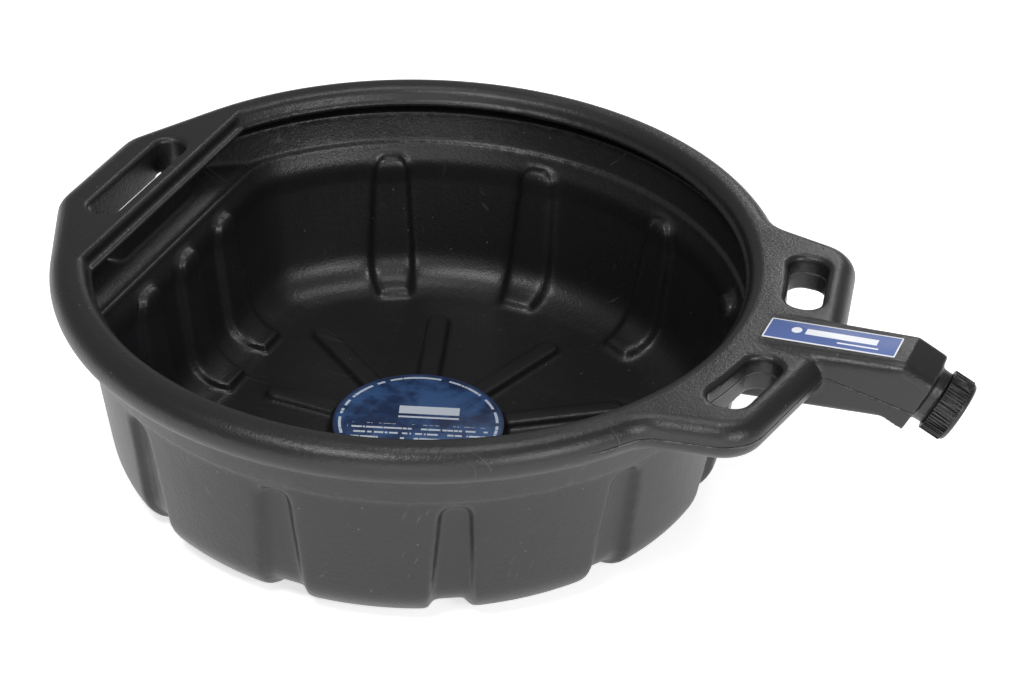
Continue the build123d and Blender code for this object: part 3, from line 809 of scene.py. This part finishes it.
class DrainPanLiner(Operator):
    """Build the foam liner that seals the neck's mouth inside the cap"""

    bl_idname = "mesh.drain_pan_liner"
    bl_label = "Drain Pan Cap Liner"

    start = 0.0191
    thickness = 0.0011
    radius = 0.01495
    points_round = 96
    seat_width = 0.0018         # from the edge to the groove
    groove_wall, groove_width = 0.0004, 0.0016
    groove_depth, groove_rise = 0.00025, 0.0002
    edge = 0.0002

    def execute(self, context):
        deselect_all()
        bpy.ops.mesh.primitive_cylinder_add(
            vertices=self.points_round, radius=self.radius, depth=self.thickness,
            location=(0, 0, self.start + self.thickness / 2))
        liner = context.object
        liner.name = "sealing_liner"
        apply_place(liner)
        edit(liner)
        pick_faces(liner, lambda face: face.normal.z < -0.9)
        bpy.ops.mesh.inset(thickness=self.seat_width)
        bpy.ops.mesh.inset(thickness=self.groove_wall, depth=-self.groove_depth)
        bpy.ops.mesh.inset(thickness=self.groove_width, depth=0.0)
        bpy.ops.mesh.inset(thickness=self.groove_wall, depth=self.groove_rise)
        bpy.ops.object.mode_set(mode="OBJECT")
        ease_edges(liner, self.edge, 40)
        set_on_neck(liner)
        shade(liner, 35)
        finish_piece(liner, "cap_liner", liner_foam(), ("cap_liner",))
        return {"FINISHED"}


class DrainPanLabels(Operator):
    """Build the round label in the basin and the oblong label on the spout"""

    bl_idname = "mesh.drain_pan_labels"
    bl_label = "Drain Pan Labels"

    points_round = 160
    corner = 0.0008
    film = 0.0003               # thickness of the label on the spout
    trim = 0.0002               # it is this much shorter than the CAD label
    round_edge, oblong_edge = 0.0001, 0.00008

    def execute(self, context):
        settings = context.scene.drain_pan
        self.floor_label(settings)
        self.spout_label(settings)
        return {"FINISHED"}

    def floor_label(self, settings):
        """A thin disc on the floor's boss, its edge eased."""
        low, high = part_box("floor_label")
        deselect_all()
        bpy.ops.mesh.primitive_circle_add(
            vertices=self.points_round, radius=settings.floor_label_radius, fill_type="NGON",
            location=(0, 0, low.z))
        label = bpy.context.object
        label.name = "round_floor_label"
        apply_place(label)
        edit(label)
        bpy.ops.mesh.select_all(action="SELECT")
        bpy.ops.mesh.extrude_region_move(TRANSFORM_OT_translate={"value": (0, 0, high.z - low.z)})
        bpy.ops.mesh.select_all(action="SELECT")
        bpy.ops.mesh.normals_make_consistent(inside=False)
        bpy.ops.object.mode_set(mode="OBJECT")
        ease_edges(label, self.round_edge, 40)
        shade(label, 30)
        finish_piece(label, "pan",
                     floor_label_print(settings, bpy.data.node_groups["Printed bars"]), ("floor_label",))

    def spout_label(self, settings):
        """A thin oblong with small round corners, lying on the climbing top of the spout."""
        low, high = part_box("spout_label")
        centre = (low + high) / 2
        width = high.y - low.y
        rise = atan2(high.z - low.z - self.film, high.x - low.x)
        length = (high.x - low.x) / cos(rise)
        deselect_all()
        bpy.ops.mesh.primitive_plane_add(size=1, location=(0, 0, 0))
        label = bpy.context.object
        label.name = "oblong_spout_label"
        label.scale = (length - self.trim, width, 1)
        apply_place(label)
        edit(label, "VERT")
        bpy.ops.mesh.select_all(action="SELECT")
        bpy.ops.mesh.bevel(offset=self.corner, segments=4, affect="VERTICES")
        bpy.ops.mesh.select_all(action="SELECT")
        bpy.ops.mesh.extrude_region_move(TRANSFORM_OT_translate={"value": (0, 0, self.film)})
        bpy.ops.mesh.select_all(action="SELECT")
        bpy.ops.mesh.normals_make_consistent(inside=False)
        bpy.ops.object.mode_set(mode="OBJECT")
        ease_edges(label, self.oblong_edge, 40)
        label.location = (centre.x, centre.y, centre.z - self.film / 2)
        label.rotation_euler = (0, -rise, 0)
        apply_place(label)
        shade(label, 30)
        finish_piece(label, "pan",
                     spout_label_print(settings, centre, (length, width), rise), ("spout_label",))


class DrainPanStage(Operator):
    """Build the pale floor, the soft lights and the camera"""

    bl_idname = "scene.drain_pan_stage"
    bl_label = "Drain Pan Studio"

    lamps = (                   # name, place, what it is aimed at, side in metres, power in watts
        ("key_softbox", (-0.15, -1.15, 2.0), (0.0, 0.0, 0.1), 0.6, 20.0),
        ("back_softbox", (0.0, 1.9, 1.25), (0.2, 0.0, 0.1), 0.45, 5.0),
        ("overhead_softbox", (0.1, 0.5, 2.2), (0.0, 0.0, 0.1), 0.6, 9.0),
        ("right_softbox", (1.7, -1.0, 1.0), (0.25, 0.0, 0.1), 0.7, 16.0),
        ("front_softbox", (0.8, -2.5, 0.45), (0.0, 0.0, 0.06), 1.6, 18.0),
    )
    floor_below = 0.0002        # keeps the floor from sharing the pan's base plane

    def execute(self, context):
        studio = context.scene.drain_pan_studio
        self.camera(context, studio)
        self.floor(studio)
        self.room(context, studio)
        for name, place, target, size, power in self.lamps:
            self.lamp(name, Vector(place), Vector(target), size, power)
        return {"FINISHED"}

    def camera(self, context, studio):
        """The camera, from its azimuth, elevation, roll and place."""
        a, e = studio.azimuth, studio.elevation
        back = Vector((sin(a) * cos(e), -cos(a) * cos(e), sin(e)))
        right = Vector((cos(a), sin(a), 0))
        up = back.cross(right)
        turned_right = cos(studio.roll) * right + sin(studio.roll) * up
        turned_up = cos(studio.roll) * up - sin(studio.roll) * right
        data = bpy.data.cameras.new("studio_camera")
        data.sensor_width = 36.0
        data.lens = studio.lens
        camera = bpy.data.objects.new("studio_camera", data)
        turn = Matrix((turned_right, turned_up, back)).transposed().to_4x4()
        camera.matrix_world = Matrix.Translation(Vector(studio.camera_place)) @ turn
        context.scene.collection.objects.link(camera)
        context.scene.camera = camera

    def floor(self, studio):
        """A plain pale floor that isn't part of the object."""
        deselect_all()
        bpy.ops.mesh.primitive_plane_add(size=studio.floor_size, location=(0, 0, -self.floor_below))
        floor = bpy.context.object
        floor.name = "studio_floor"
        apply_place(floor)
        material, _, shader, _ = start_material("Studio floor", tuple(studio.floor_colour), 0.9)
        shader.inputs["Emission Color"].default_value = (1, 1, 1, 1)
        shader.inputs["Emission Strength"].default_value = studio.floor_glow
        floor.data.materials.append(material)

    def room(self, context, studio):
        """An even white room."""
        world = bpy.data.worlds.new("white_room")
        world.use_nodes = True
        background = world.node_tree.nodes["Background"]
        background.inputs["Color"].default_value = (1, 1, 1, 1)
        background.inputs["Strength"].default_value = studio.sky_strength
        context.scene.world = world
        context.scene.view_settings.view_transform = "Standard"

    def lamp(self, name, place, target, size, power):
        """One square softbox aimed at a point."""
        data = bpy.data.lights.new(name, "AREA")
        data.shape = "SQUARE"
        data.size = size
        data.energy = power
        lamp = bpy.data.objects.new(name, data)
        lamp.location = place
        lamp.rotation_euler = (target - place).to_track_quat("-Z", "Y").to_euler()
        bpy.context.scene.collection.objects.link(lamp)


class DrainPanPanel(Panel):
    """Sidebar panel with the settings and one button for each piece"""

    bl_idname = "VIEW3D_PT_drain_pan"
    bl_label = "Drain Pan"
    bl_space_type = "VIEW_3D"
    bl_region_type = "UI"
    bl_category = "Drain Pan"

    def draw(self, context):
        for group in (context.scene.drain_pan, context.scene.drain_pan_studio):
            column = self.layout.column(align=True)
            for name in group.__annotations__:
                column.prop(group, name)
        for operator in OPERATORS:
            self.layout.operator(operator.bl_idname)


OPERATORS = (DrainPanMoulding, DrainPanCap, DrainPanLiner, DrainPanLabels, DrainPanStage)
CLASSES = (PanSettings, StudioSettings, *OPERATORS, DrainPanPanel)


def register():
    """Registers the classes and hangs the settings on the scene."""
    for entry in CLASSES:
        bpy.utils.register_class(entry)
    bpy.types.Scene.drain_pan = PointerProperty(type=PanSettings)
    bpy.types.Scene.drain_pan_studio = PointerProperty(type=StudioSettings)


def unregister():
    """Takes everything that register added away again."""
    del bpy.types.Scene.drain_pan_studio
    del bpy.types.Scene.drain_pan
    for entry in reversed(CLASSES):
        bpy.utils.unregister_class(entry)


def main():
    """Builds the pan and its studio."""
    register()
    moulded_grain()
    handling_marks()
    print_bars()
    bpy.ops.mesh.drain_pan_moulding()
    bpy.ops.mesh.drain_pan_cap()
    bpy.ops.mesh.drain_pan_liner()
    bpy.ops.mesh.drain_pan_labels()
    bpy.ops.scene.drain_pan_stage()


if __name__ == "__main__":
    main()
